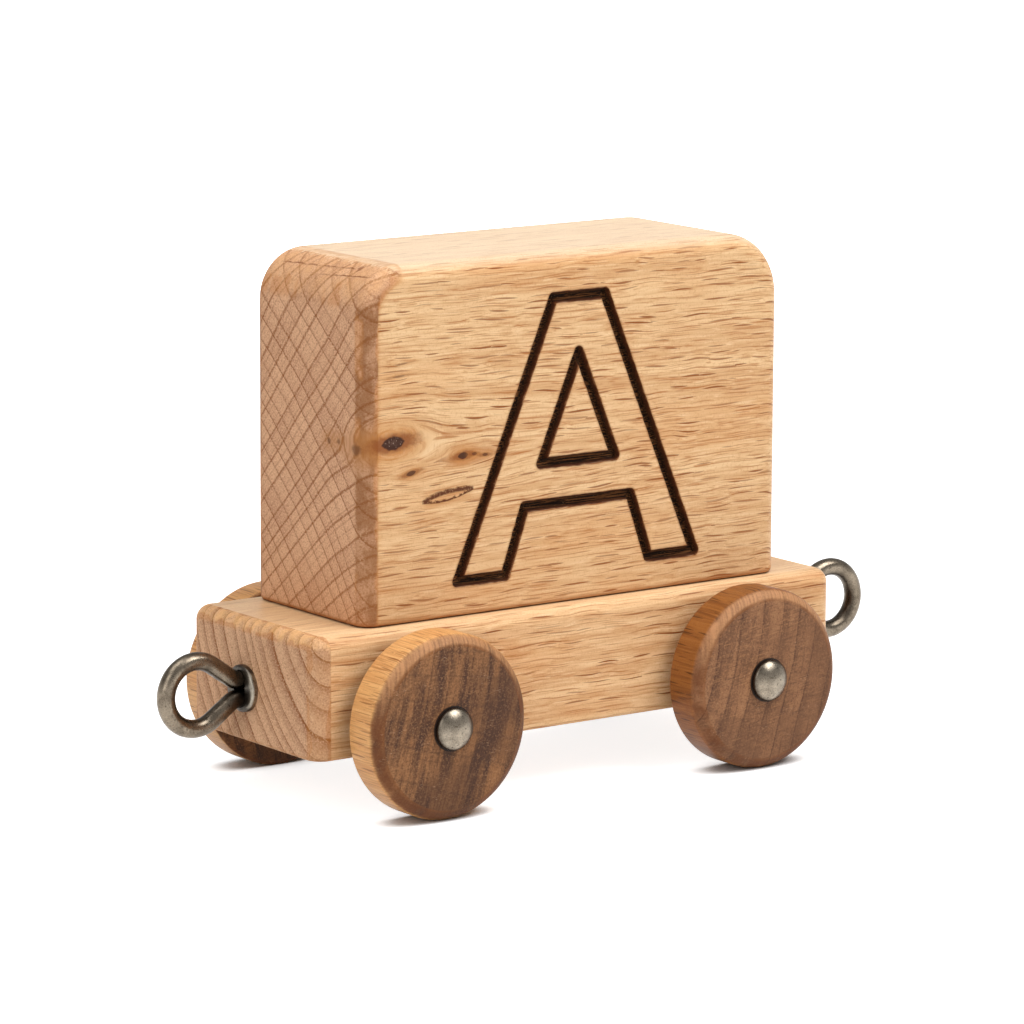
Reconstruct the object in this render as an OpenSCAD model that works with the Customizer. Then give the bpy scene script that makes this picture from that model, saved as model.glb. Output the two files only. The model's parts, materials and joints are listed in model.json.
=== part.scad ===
// Wooden alphabet wagon: a letter block on a chassis bar with four free wheels
// and a wire coupling eye at each end. X runs along the wagon, -Y is the front
// with the letter, +Z is up, and the wheels stand on z = 0.

/* [Chassis] */
// Length of the chassis bar
chassis_l = 87.4; // [76:0.1:110]
// Width of the chassis bar
chassis_w = 30.4; // [28:0.1:40]
// Height of the chassis bar
chassis_h = 16.5; // [15:0.1:24]
// Radius of the four upright edges of the chassis
chassis_side_r = 2.5; // [1:0.1:4]
// Radius of the rounding round the top of the chassis
chassis_top_r = 2; // [0.5:0.1:3]
// Radius of the rounding round the underside of the chassis
chassis_foot_r = 0.6; // [0.2:0.1:2]

/* [Letter block] */
// Length of the letter block
block_l = 70; // [60:0.1:76]
// Thickness of the letter block, front to back
block_w = 26.2; // [22:0.1:28]
// Height of the letter block
block_h = 47.9; // [42:0.1:60]
// Radius of the top corner at the left
block_left_r = 6.8; // [4:0.1:12]
// Radius of the top corner at the right
block_right_r = 8.8; // [4:0.1:12]
// Radius of the rounding between the broad faces and the rim
block_edge_r = 2.45; // [1:0.05:3.5]
// Radius of the small rounding round the foot of the block
block_foot_r = 0.7; // [0.2:0.1:1.5]
// How far the block sits to the right of the chassis centre
block_shift = 0.35; // [-2:0.05:2]

/* [Letter] */
// Height of the letter, measured between groove centre lines
letter_h = 36.9; // [25:0.1:38]
// Width of the letter across its feet, between groove centre lines
letter_w = 39.9; // [25:0.1:44]
// Width of the flat apex, between groove centre lines
letter_apex_w = 8.6; // [4:0.1:12]
// Width of each foot, between groove centre lines
letter_foot_w = 7.9; // [4:0.1:10]
// Width between the legs at the crossbar's lower groove
letter_crotch_w = 17.8; // [12:0.1:20]
// Height of the crossbar's lower groove above the feet
letter_bar_z = 9; // [5:0.1:12]
// Thickness of the crossbar, between groove centre lines
letter_bar_h = 5.6; // [3:0.1:8]
// Width of the triangle above the crossbar
letter_counter_w = 12.4; // [8:0.1:14]
// Height of the triangle above the crossbar
letter_counter_h = 14.7; // [8:0.1:16]
// Height of the letter's feet above the foot of the block
letter_rise = 4.8; // [3:0.1:6]
// How far the letter sits to the right of the block's centre
letter_shift = 0.1; // [-2:0.05:2]
// Width of the groove
groove_w = 1.6; // [0.8:0.1:2.4]
// Depth of the groove
groove_depth = 0.9; // [0.4:0.1:2]

/* [Dowels] */
// Diameter of the two dowels that hold the block
dowel_d = 6; // [4:0.1:8]
// Length of each dowel
dowel_l = 17; // [12:0.1:20]
// Distance between the two dowels
dowel_spacing = 34; // [20:0.5:40]
// Length of the bevel at each end of a dowel
dowel_bevel = 0.8; // [0.3:0.1:1.5]
// Clearance round a dowel, for the glue
dowel_gap = 0.05; // [0.02:0.01:0.1]
// Spare depth under each end of a dowel
dowel_spare = 0.4; // [0.1:0.1:0.6]

/* [Wheels] */
// Diameter of a wheel
wheel_d = 25; // [22:0.1:32]
// Thickness of a wheel
wheel_w = 6.1; // [4:0.1:9]
// Radius of the rounding at the outer edge of the rim
wheel_rim_r = 1.6; // [0.8:0.1:2.5]
// Radius of the rounding at the inner edge of the rim
wheel_back_r = 0.5; // [0.2:0.1:1]
// Distance between the two axle lines
wheelbase = 53; // [48:0.1:58]
// How far the middle of the wheelbase sits to the left of the chassis centre
wheelbase_shift = 0.9; // [-2:0.1:2]
// Height of the axle line above the underside of the chassis
axle_rise = 4.2; // [3.2:0.1:4.6]

/* [Axle nails and washers] */
// Diameter of a nail's shank
nail_d = 2.5; // [2:0.1:3.4]
// Diameter of a nail's domed head
nail_head_d = 5.7; // [5:0.1:8]
// Height of the domed head
nail_head_h = 1.6; // [0.8:0.1:2.2]
// Thickness of the head's upright edge
nail_head_edge = 0.35; // [0.1:0.05:0.6]
// Depth of the nail in the chassis
nail_bite = 11.5; // [6:0.1:13]
// Length of the nail's point
nail_point_l = 2.6; // [1:0.1:4]
// Diameter of the nail's blunt tip
nail_tip_d = 0.6; // [0.3:0.1:1.2]
// Radial clearance between the shank and the wheel's bore
wheel_bore_gap = 0.07; // [0.03:0.01:0.1]
// Radial clearance between the shank and its hole in the chassis
nail_hole_gap = 0.02; // [0.01:0.01:0.05]
// End play of a wheel on each side
end_play = 0.25; // [0.15:0.05:0.4]
// Outer diameter of a washer
washer_d = 6.8; // [6:0.1:9]
// Thickness of a washer
washer_t = 1.75; // [0.8:0.05:2.5]
// Radial clearance between the shank and the washer
washer_gap = 0.1; // [0.05:0.01:0.2]

/* [Coupling eyes] */
// Diameter of the wire
wire_d = 2.5; // [1.8:0.1:2.8]
// Diameter of the loop, measured on the wire's centre line
loop_d = 9.1; // [8.2:0.1:11]
// Slope at which the two legs run in from the loop to the neck, in degrees
leg_slope = 35; // [28:1:50]
// Radius of the bend between each sloping leg and the neck
neck_bend_r = 2; // [1.5:0.1:2.6]
// Gap between the two legs of the wire
leg_gap = 0.1; // [0.06:0.01:0.3]
// Depth of the legs in the chassis
leg_bite = 11; // [6:0.1:12]
// Length of neck that stands out at the left end
neck_out_left = 1.15; // [1.1:0.05:5]
// Length of neck that stands out at the right end
neck_out_right = 3.9; // [1.1:0.05:5]
// How far the left eye sits behind the chassis centre line
eye_back_left = 1.6; // [-3:0.1:3]
// How far the right eye sits behind the chassis centre line
eye_back_right = -1.2; // [-3:0.1:3]
// How far the left eye sits above the middle of the chassis end
eye_up_left = -1; // [-1.5:0.1:2]
// How far the right eye sits above the middle of the chassis end
eye_up_right = 0.5; // [-1.5:0.1:2]
// Diameter of the collar round the neck
collar_d = 6.4; // [6.2:0.1:9]
// Thickness of the collar
collar_h = 0.9; // [0.6:0.05:1]
// Radius of the rounding round the collar's outer edge
collar_edge_r = 0.45; // [0.1:0.05:0.5]
// Clearance round the legs in the collar and in the drilled hole
leg_hole_gap = 0.05; // [0.02:0.01:0.1]

/* [Hidden] */

// How far every cut runs past the surface it opens
overrun = 0.5;
// Number of segments of a full circle in the preview
$fn = 96;
// How far the balls between the bends of the wire, and the discs at the letter's
// corners, stand proud of what they join
joint_swell = 0.02;
// How far each stretch of wire stops short inside such a ball
joint_gap = 0.08;

LEFT = -1;
RIGHT = 1;
FRONT = -1;
BACK = 1;

BEECH = [0.86, 0.68, 0.47];
BEECH_BAR = [0.84, 0.66, 0.46];
DOWEL_WOOD = [0.90, 0.80, 0.62];
BROWN_WOOD = [0.52, 0.33, 0.20];
NICKEL = [0.55, 0.53, 0.48];
DARK_NICKEL = [0.42, 0.40, 0.36];
STEEL = [0.62, 0.62, 0.60];

axle_z = wheel_d / 2;
chassis_z = axle_z - axle_rise;
deck_z = chassis_z + chassis_h;
end_z = chassis_z + chassis_h / 2;

// The wagon's whole length is centred on x = 0, so the bar sits a little to one side
chassis_x = (neck_out_left - neck_out_right) / 2;
block_x = chassis_x + block_shift;
letter_x = block_x + letter_shift;
letter_z = deck_z + letter_rise;

bar_side = chassis_w / 2;
wheel_in = bar_side + washer_t + end_play;
wheel_out = wheel_in + wheel_w;
head_seat = wheel_out + end_play;
bore_d = nail_d + 2 * wheel_bore_gap;
leg_offset = (wire_d + leg_gap) / 2;
legs_d = 2 * wire_d + leg_gap;

function axle_x(side) = chassis_x - wheelbase_shift + side * wheelbase / 2;
function dowel_x(side) = block_x + side * dowel_spacing / 2;
function neck_out(side) = side == LEFT ? neck_out_left : neck_out_right;
function eye_y(side) = side == LEFT ? eye_back_left : eye_back_right;
function eye_z(side) = end_z + (side == LEFT ? eye_up_left : eye_up_right);

// Rectangle from the origin with its far upper corner rounded by r
module top_section(w, h, r) {
    difference() {
        square([w, h]);
        translate([w - r, h - r])
            difference() {
                square(r + overrun);
                circle(r);
            }
    }
}

// Waste under the far lower corner of a section w wide, rounded by r
module foot_cut(w, r) {
    translate([w - r, r])
        difference() {
            translate([0, -r - overrun])
                square(r + overrun);
            circle(r);
        }
}

// Rectangle from the origin with both its far corners rounded
module half_section(w, h, top_r, foot_r) {
    difference() {
        top_section(w, h, top_r);
        foot_cut(w, foot_r);
    }
}

// Rectangle centred on the x axis from the origin, both far corners rounded by r
module rim_section(w, h, r) {
    translate([0, -h / 2])
        half_section(w, h, r, r);
}

// Bar on z = 0 with upright edges of radius r; its child is the section of its rim, r wide
module rimmed_bar(l, w, h, r) {
    inner_l = l - 2 * r;
    inner_w = w - 2 * r;
    translate([-inner_l / 2, -inner_w / 2, 0])
        cube([inner_l, inner_w, h]);
    for (turn = [0, 180])
        rotate([0, 0, turn]) {
            translate([inner_l / 2, inner_w / 2, 0])
                rotate([90, 0, 0])
                    linear_extrude(inner_w)
                        children();
            translate([-inner_l / 2, inner_w / 2, 0])
                rotate([90, 0, 90])
                    linear_extrude(inner_l)
                        children();
        }
    for (corner = [[1, 1, 0], [-1, 1, 90], [-1, -1, 180], [1, -1, 270]])
        translate([corner[0] * inner_l / 2, corner[1] * inner_w / 2, 0])
            rotate([0, 0, corner[2]])
                rotate_extrude(angle = 90)
                    children();
}

module chassis_blank() {
    rimmed_bar(chassis_l, chassis_w, chassis_h, chassis_side_r)
        half_section(chassis_side_r, chassis_h, chassis_top_r, chassis_foot_r);
}

// Hole for one nail, from the side face inwards
module nail_hole(x, face) {
    hole_d = nail_d + 2 * nail_hole_gap;
    translate([x, face * (bar_side + overrun), axle_z])
        rotate([face * 90, 0, 0])
            cylinder(d = hole_d, h = nail_bite + overrun);
}

// Round hole for the two legs of one eye, from the end face inwards
module leg_hole(side) {
    hole_d = legs_d + 2 * leg_hole_gap;
    end_x = chassis_x + side * (chassis_l / 2 + overrun);
    translate([end_x, eye_y(side), eye_z(side)])
        rotate([0, -side * 90, 0])
            cylinder(d = hole_d, h = leg_bite + leg_hole_gap + overrun);
}

// Hole for one half of a dowel, upwards or downwards from the deck
module dowel_hole(side, up) {
    depth = dowel_l / 2 + dowel_spare;
    translate([dowel_x(side), 0, deck_z - (up ? overrun : depth)])
        cylinder(d = dowel_d + 2 * dowel_gap, h = depth + overrun);
}

module chassis() {
    color(BEECH_BAR)
        difference() {
            translate([chassis_x, 0, chassis_z])
                chassis_blank();
            for (side = [LEFT, RIGHT]) {
                leg_hole(side);
                dowel_hole(side, false);
                for (face = [FRONT, BACK])
                    nail_hole(axle_x(side), face);
            }
        }
}

// One top corner of the block, turned about an axis from front to back
module block_corner(r, from) {
    rotate([90, 0, 0])
        rotate([0, 0, from])
            rotate_extrude(angle = 90)
                rim_section(r, block_w, block_edge_r);
}

// Upright end of the block between its foot and a corner of radius r, facing +X
module block_end(r) {
    translate([0, 0, block_foot_r])
        linear_extrude(block_h - r - block_foot_r)
            rim_section(r, block_w, block_edge_r);
}

// Lowest layer of the block, rounded all round its underside
module block_foot() {
    rimmed_bar(block_l, block_w, block_foot_r, block_edge_r)
        difference() {
            square([block_edge_r, block_foot_r]);
            foot_cut(block_edge_r, block_foot_r);
        }
}

module block_blank() {
    top_r = max(block_left_r, block_right_r);
    half_l = block_l / 2;
    left_x = -half_l + block_left_r;
    right_x = half_l - block_right_r;
    block_foot();
    translate([left_x, -block_w / 2, block_foot_r])
        cube([right_x - left_x, block_w, block_h - top_r - block_foot_r]);
    translate([left_x, 0, block_h - top_r])
        rotate([0, -90, 180])
            linear_extrude(right_x - left_x)
                rim_section(top_r, block_w, block_edge_r);
    translate([right_x, 0, 0])
        block_end(block_right_r);
    translate([right_x, 0, block_h - block_right_r])
        block_corner(block_right_r, 0);
    translate([left_x, 0, 0])
        rotate([0, 0, 180])
            block_end(block_left_r);
    translate([left_x, 0, block_h - block_left_r])
        block_corner(block_left_r, 90);
}

// Centre lines of the letter, as closed loops of [x, z] from the middle of its feet
inner_foot_x = letter_w / 2 - letter_foot_w;
bar_top_z = letter_bar_z + letter_bar_h;
letter_outline = [
    [-letter_w / 2, 0],
    [-letter_apex_w / 2, letter_h],
    [letter_apex_w / 2, letter_h],
    [letter_w / 2, 0],
    [inner_foot_x, 0],
    [letter_crotch_w / 2, letter_bar_z],
    [-letter_crotch_w / 2, letter_bar_z],
    [-inner_foot_x, 0]
];
letter_counter = [
    [-letter_counter_w / 2, bar_top_z],
    [0, bar_top_z + letter_counter_h],
    [letter_counter_w / 2, bar_top_z]
];

// Straight stroke of the cutter between two points, with round ends
module stroke(a, b) {
    run = norm(b - a);
    translate(a) {
        circle(d = groove_w + 2 * joint_swell);
        rotate(atan2(b[1] - a[1], b[0] - a[0]))
            translate([0, -groove_w / 2])
                square([run, groove_w]);
    }
}

module closed_groove(points) {
    last = len(points) - 1;
    for (i = [0 : last])
        stroke(points[i], points[i == last ? 0 : i + 1]);
}

module letter_groove() {
    translate([letter_x, -block_w / 2 + groove_depth, letter_z])
        rotate([90, 0, 0])
            linear_extrude(groove_depth + overrun) {
                closed_groove(letter_outline);
                closed_groove(letter_counter);
            }
}

module letter_block() {
    color(BEECH)
        difference() {
            translate([block_x, 0, deck_z])
                block_blank();
            for (side = [LEFT, RIGHT])
                dowel_hole(side, true);
            letter_groove();
        }
}

module dowel(side) {
    half = dowel_l / 2 - dowel_bevel;
    color(DOWEL_WOOD)
        translate([dowel_x(side), 0, deck_z])
            rotate_extrude()
                polygon([
                    [0, -dowel_l / 2],
                    [dowel_d / 2 - dowel_bevel, -dowel_l / 2],
                    [dowel_d / 2, -half],
                    [dowel_d / 2, half],
                    [dowel_d / 2 - dowel_bevel, dowel_l / 2],
                    [0, dowel_l / 2]
                ]);
}

// Turns a piece made along +Z so that it points out of one side face, at an axle
module at_axle(side, face, out) {
    translate([axle_x(side), face * out, axle_z])
        rotate([-face * 90, 0, 0])
            children();
}

module wheel(side, face) {
    color(BROWN_WOOD)
        at_axle(side, face, wheel_in)
            difference() {
                rotate_extrude()
                    half_section(axle_z, wheel_w, wheel_rim_r, wheel_back_r);
                translate([0, 0, -overrun])
                    cylinder(d = bore_d, h = wheel_w + 2 * overrun);
            }
}

// Domed head of radius r and height h over an upright edge, with its seat at z = 0
module dome(r, h, edge) {
    rise = h - edge;
    ball_r = (r * r + rise * rise) / (2 * rise);
    cylinder(r = r, h = edge);
    translate([0, 0, edge])
        intersection() {
            translate([0, 0, rise - ball_r])
                sphere(ball_r);
            cylinder(r = ball_r + overrun, h = rise + overrun);
        }
}

module axle_nail(side, face) {
    shank = head_seat - bar_side + nail_bite - nail_point_l;
    color(NICKEL)
        at_axle(side, face, head_seat) {
            dome(nail_head_d / 2, nail_head_h, nail_head_edge);
            translate([0, 0, -shank])
                cylinder(d = nail_d, h = shank);
            translate([0, 0, -shank - nail_point_l])
                cylinder(d1 = nail_tip_d, d2 = nail_d, h = nail_point_l);
        }
}

module washer(side, face) {
    color(STEEL)
        at_axle(side, face, bar_side)
            difference() {
                cylinder(d = washer_d, h = washer_t);
                translate([0, 0, -overrun])
                    cylinder(d = nail_d + 2 * washer_gap, h = washer_t + 2 * overrun);
            }
}

// Wire bend in the XZ plane: an arc of radius r from one angle to another, which
// stops short of both its ends, where joint balls take over
module wire_arc(centre, r, from, sweep) {
    short = joint_gap / r * 180 / PI;
    translate([centre[0], 0, centre[1]])
        rotate([90, 0, 0])
            rotate([0, 0, from + short])
                rotate_extrude(angle = sweep - 2 * short)
                    translate([r, 0])
                        circle(d = wire_d);
}

// Straight wire in the XZ plane between two points, short of a joint ball at its start
// and, where it has one there, at its end
module wire_run(a, b, open_end) {
    run = norm(b - a) - joint_gap * (open_end ? 1 : 2);
    translate([a[0], 0, a[1]])
        rotate([0, atan2(b[0] - a[0], b[1] - a[1]), 0])
            translate([0, 0, joint_gap])
                cylinder(d = wire_d, h = run);
}

// Ball that joins two stretches of wire, with its poles along the second, which leads to next
module joint_ball(at, next) {
    translate([at[0], 0, at[1]])
        rotate([0, atan2(next[0] - at[0], next[1] - at[1]), 0])
            sphere(d = wire_d + 2 * joint_swell);
}

// The eye, made to point out of the right end, with the end face at x = 0
module eye_wire(out) {
    loop_r = loop_d / 2;
    drop = loop_r * cos(leg_slope) - neck_bend_r * (1 - cos(leg_slope)) - leg_offset;
    run = drop / tan(leg_slope);
    bend_z = leg_offset + neck_bend_r;
    loop_x = out + (loop_r + neck_bend_r) * sin(leg_slope) + run;
    wire_arc([loop_x, 0], loop_r, -90 - leg_slope, 180 + 2 * leg_slope);
    for (leg = [1, -1]) {
        spoke = [-sin(leg_slope), leg * cos(leg_slope)];
        loop_end = [loop_x, 0] + loop_r * spoke;
        bend_start = [out, leg * bend_z] - neck_bend_r * spoke;
        bend_end = [out, leg * leg_offset];
        leg_end = [-leg_bite, leg * leg_offset];
        joint_ball(loop_end, bend_start);
        wire_run(loop_end, bend_start, false);
        joint_ball(bend_start, loop_end);
        wire_arc([out, leg * bend_z], neck_bend_r, leg > 0 ? 270 : 90 - leg_slope, leg_slope);
        joint_ball(bend_end, leg_end);
        wire_run(bend_end, leg_end, true);
    }
}

// Places a piece that points along +X at one end of the chassis
module at_end(side) {
    translate([chassis_x + side * chassis_l / 2, eye_y(side), eye_z(side)])
        rotate([0, 0, side == RIGHT ? 0 : 180])
            children();
}

module eye(side) {
    color(NICKEL)
        at_end(side)
            eye_wire(neck_out(side));
}

// Slot in the collar for the two legs, its long way along X
module leg_slot() {
    slot_d = wire_d + 2 * leg_hole_gap;
    for (leg = [1, -1])
        translate([leg * leg_offset, 0])
            circle(d = slot_d);
    square([2 * leg_offset, slot_d], center = true);
}

module eye_collar(side) {
    color(DARK_NICKEL)
        at_end(side)
            rotate([0, 90, 0])
                difference() {
                    rotate_extrude()
                        top_section(collar_d / 2, collar_h, collar_edge_r);
                    translate([0, 0, -overrun])
                        linear_extrude(collar_h + 2 * overrun)
                            leg_slot();
                }
}

letter_block();
chassis();
dowel(LEFT);  // dowel_left
dowel(RIGHT);  // dowel_right
wheel(LEFT, FRONT);  // wheel_front_left
wheel(RIGHT, FRONT);  // wheel_front_right
wheel(LEFT, BACK);  // wheel_back_left
wheel(RIGHT, BACK);  // wheel_back_right
axle_nail(LEFT, FRONT);  // axle_nail_front_left
axle_nail(RIGHT, FRONT);  // axle_nail_front_right
axle_nail(LEFT, BACK);  // axle_nail_back_left
axle_nail(RIGHT, BACK);  // axle_nail_back_right
washer(LEFT, FRONT);  // washer_front_left
washer(RIGHT, FRONT);  // washer_front_right
washer(LEFT, BACK);  // washer_back_left
washer(RIGHT, BACK);  // washer_back_right
eye(LEFT);  // eye_left
eye(RIGHT);  // eye_right
eye_collar(LEFT);  // eye_collar_left
eye_collar(RIGHT);  // eye_collar_right
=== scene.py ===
"""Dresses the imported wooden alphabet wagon: grained beech, brown wheels, burnt letter, worn metal."""

import json
import math

import bmesh
import bpy
import numpy as np
from mathutils import Matrix, Vector, geometry, noise


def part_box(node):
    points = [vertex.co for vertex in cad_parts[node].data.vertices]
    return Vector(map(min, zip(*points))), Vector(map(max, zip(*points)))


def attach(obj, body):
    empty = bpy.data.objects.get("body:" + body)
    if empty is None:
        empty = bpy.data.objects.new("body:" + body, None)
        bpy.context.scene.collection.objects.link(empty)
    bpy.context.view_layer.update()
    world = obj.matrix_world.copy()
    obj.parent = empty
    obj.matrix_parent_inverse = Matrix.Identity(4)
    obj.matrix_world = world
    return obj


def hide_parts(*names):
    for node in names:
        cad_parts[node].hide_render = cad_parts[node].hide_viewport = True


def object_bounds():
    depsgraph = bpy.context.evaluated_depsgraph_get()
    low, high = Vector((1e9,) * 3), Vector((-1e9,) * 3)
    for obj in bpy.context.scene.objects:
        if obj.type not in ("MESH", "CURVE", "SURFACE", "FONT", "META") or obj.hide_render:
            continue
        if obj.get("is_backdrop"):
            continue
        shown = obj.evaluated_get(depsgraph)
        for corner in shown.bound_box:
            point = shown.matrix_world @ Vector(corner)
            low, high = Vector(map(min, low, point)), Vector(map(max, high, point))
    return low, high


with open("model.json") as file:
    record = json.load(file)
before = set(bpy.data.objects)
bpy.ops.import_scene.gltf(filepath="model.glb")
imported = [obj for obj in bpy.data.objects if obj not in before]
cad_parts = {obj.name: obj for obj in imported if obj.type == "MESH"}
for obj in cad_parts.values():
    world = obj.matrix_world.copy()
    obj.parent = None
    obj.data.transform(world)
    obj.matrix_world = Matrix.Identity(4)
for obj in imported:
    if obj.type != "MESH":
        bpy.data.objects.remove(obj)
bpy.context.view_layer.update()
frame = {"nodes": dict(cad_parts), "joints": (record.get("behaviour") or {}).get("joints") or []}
nodes = frame["nodes"]
MM = 0.001

# Sizes of the pieces that are made anew here, as in the CAD, in mm
WHEEL_R, WHEEL_W, BORE_R, CHAMFER, BACK_R = 12.5, 6.1, 1.32, 1.6, 0.5
HEAD_R, HEAD_H, HEAD_EDGE, SHANK_R, NAIL_L, POINT_L, TIP_R = 2.85, 1.6, 0.35, 1.25, 20.1, 2.6, 0.3
LOOP_R, BEND_R, LEG_OFFSET, LEG_L, LEG_SLOPE, WIRE_R = 4.55, 2.0, 1.3, 11.0, math.radians(35), 1.25
NECK_OUT = {"left": 1.15, "right": 3.9}
# How far the middle of each loop stands beyond its neck
LOOP_OUT = 6.71
# The letter's centre lines, as closed loops from the middle of its feet, and its groove
LETTER_AT = (-0.925, 29.6)
OUTLINE = [(-19.95, 0), (-4.3, 36.9), (4.3, 36.9), (19.95, 0),
           (12.05, 0), (8.9, 9.0), (-8.9, 9.0), (-12.05, 0)]
COUNTER = [(-6.2, 14.6), (0, 29.3), (6.2, 14.6)]
GROOVE_DEPTH, GROOVE_HALF, GROOVE_END = 0.9, 0.74, 0.95
# Distances from the centre line at which the front face has rows of points, and one beyond them all
GROOVE_STEPS = (0.18, 0.34, 0.46, 0.55, 0.62, 0.67, 0.72, 0.77, 0.85, 1.0, 1.3, 2.0)
FAR = 9.0
# Spacing of the points along those rows, on straight stretches and round corners
SPACING, CORNER_SPACING = 0.45, 0.18
# Height of the middle of the front face, and the scale of the row of points just inside its rim
FACE_Z, INSET = 48, 0.985
# Half width, foot and top of the part of the front that holds the CAD's groove
LETTER_HALF, LETTER_LOW, LETTER_HIGH = 22, 27, 69
# Distance from a wheel's middle to the pith of its tree
PITH_FAR = 90


def rgb(red, green, blue):
    """A colour given as screen values from 0 to 255, made linear for a shader."""
    linear = []
    for value in (red, green, blue):
        share = value / 255
        linear.append(share / 12.92 if share <= 0.04045 else ((share + 0.055) / 1.055) ** 2.4)
    return (*linear, 1.0)


# Shader graphs written as plain sums
class Wire:
    """An output socket that can be used in sums."""

    def __init__(self, graph, socket):
        self.graph, self.socket = graph, socket

    def __add__(self, other):
        return self.graph.math("ADD", self, other)

    def __radd__(self, other):
        return self.graph.math("ADD", other, self)

    def __sub__(self, other):
        return self.graph.math("SUBTRACT", self, other)

    def __rsub__(self, other):
        return self.graph.math("SUBTRACT", other, self)

    def __mul__(self, other):
        return self.graph.math("MULTIPLY", self, other)

    def __rmul__(self, other):
        return self.graph.math("MULTIPLY", other, self)

    def __truediv__(self, other):
        return self.graph.math("DIVIDE", self, other)

    def __neg__(self):
        return self.graph.math("MULTIPLY", self, -1.0)


class Graph:
    """A material with its nodes, and short names for the nodes used here."""

    def __init__(self, name):
        self.material = bpy.data.materials.new(name)
        self.material.use_nodes = True
        self.tree = self.material.node_tree
        self.tree.nodes.clear()

    def add(self, kind, **settings):
        node = self.tree.nodes.new(kind)
        for key, value in settings.items():
            setattr(node, key, value)
        return node

    def put(self, socket, value):
        if isinstance(value, Wire):
            self.tree.links.new(value.socket, socket)
        else:
            socket.default_value = value

    def math(self, operation, *values):
        node = self.add("ShaderNodeMath", operation=operation)
        for socket, value in zip(node.inputs, values):
            self.put(socket, value)
        return Wire(self, node.outputs[0])

    def most(self, a, b):
        return self.math("MAXIMUM", a, b)

    def size(self, a):
        return self.math("ABSOLUTE", a)

    def distance(self, a, b):
        """Distance of a point from the origin of its two coordinates."""
        return self.math("SQRT", a * a + b * b)

    def step(self, value, low, high, to_low=0.0, to_high=1.0):
        """A soft step from to_low to to_high as value goes from low to high."""
        node = self.add("ShaderNodeMapRange", interpolation_type="SMOOTHSTEP")
        if low > high:
            low, high, to_low, to_high = high, low, to_high, to_low
        for socket, item in zip(node.inputs, (value, low, high, to_low, to_high)):
            self.put(socket, item)
        return Wire(self, node.outputs[0])

    def mix(self, a, b, share):
        """Colour a turned into colour b by share."""
        node = self.add("ShaderNodeMix", data_type="RGBA")
        self.put(node.inputs[0], share)
        self.put(node.inputs[6], a)
        self.put(node.inputs[7], b)
        return Wire(self, node.outputs[2])

    def vector(self, x, y, z):
        node = self.add("ShaderNodeCombineXYZ")
        for socket, value in zip(node.inputs, (x, y, z)):
            self.put(socket, value)
        return Wire(self, node.outputs[0])

    def noise(self, x, y, z, detail=2.0, rough=0.5):
        node = self.add("ShaderNodeTexNoise")
        self.put(node.inputs["Vector"], self.vector(x, y, z))
        node.inputs["Scale"].default_value = 1.0
        node.inputs["Detail"].default_value = detail
        node.inputs["Roughness"].default_value = rough
        return Wire(self, node.outputs[0])

    def bands(self, along, width):
        """Uneven bands across a coordinate: distance to the nearest edge, and a tone for each band."""
        outputs = []
        for feature, output in (("DISTANCE_TO_EDGE", "Distance"), ("F1", "Color")):
            node = self.add("ShaderNodeTexVoronoi", voronoi_dimensions="1D", feature=feature)
            self.put(node.inputs["W"], along / width)
            node.inputs["Scale"].default_value = 1.0
            node.inputs["Randomness"].default_value = 0.85
            outputs.append(Wire(self, node.outputs[output]))
        apart = self.add("ShaderNodeSeparateColor")
        self.put(apart.inputs[0], outputs[1])
        return outputs[0] * width, Wire(self, apart.outputs[0])

    def years(self, along, width, seed):
        """Uneven growth rings: a share that climbs from 0 to 1 across each, and a tone for each ring."""
        turns = along / width + self.noise(along / (width * 2.4) + seed, 0.5, 0.5, detail=1.0) * 1.6
        node = self.add("ShaderNodeTexWhiteNoise", noise_dimensions="1D")
        self.put(node.inputs["W"], self.math("FLOOR", turns))
        return self.math("FRACT", turns), Wire(self, node.outputs["Value"])

    def place(self):
        """The point on the piece in mm, and its normal, in the piece's own frame."""
        coords = self.add("ShaderNodeTexCoord")
        points = []
        for output, factor in (("Object", 1 / MM), ("Normal", 1.0)):
            points.append([part * factor for part in self.split(coords.outputs[output])])
        return points

    def split(self, socket):
        node = self.add("ShaderNodeSeparateXYZ")
        self.tree.links.new(socket, node.inputs[0])
        return [Wire(self, part) for part in node.outputs]

    def reading(self, name):
        """A value stored on the mesh's points."""
        node = self.add("ShaderNodeAttribute", attribute_name=name)
        return Wire(self, node.outputs["Fac"])

    def finish(self, colour, rough, height, depth, **fixed):
        """The surface shader. depth is the bump's height in mm for a height of 1."""
        shader = self.add("ShaderNodeBsdfPrincipled")
        self.put(shader.inputs["Base Color"], colour)
        self.put(shader.inputs["Roughness"], rough)
        for key, value in fixed.items():
            shader.inputs[key.replace("_", " ")].default_value = value
        bump = self.add("ShaderNodeBump")
        bump.inputs["Strength"].default_value = 1.0
        bump.inputs["Distance"].default_value = depth * MM
        self.put(bump.inputs["Height"], height)
        self.tree.links.new(bump.outputs[0], shader.inputs["Normal"])
        out =self.add("ShaderNodeOutputMaterial")
        self.tree.links.new(shader.outputs[0], out.inputs[0])
        return self.material


# Wood, as one solid grain that every cut runs through

# Kinds of fleck: spacing and half size along the grain, across it and in depth, in mm, then the share
# of the places that hold one
STRONG_FLECKS = ((5.0, 1.0, 7), (2.3, 0.15, 5), 0.6)
MIDDLING_FLECKS = ((6.0, 0.6, 6), (2.9, 0.1, 4), 0.9)
THIN_FLECKS = ((13, 1.1, 9), (6.0, 0.11, 6), 0.9)


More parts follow.
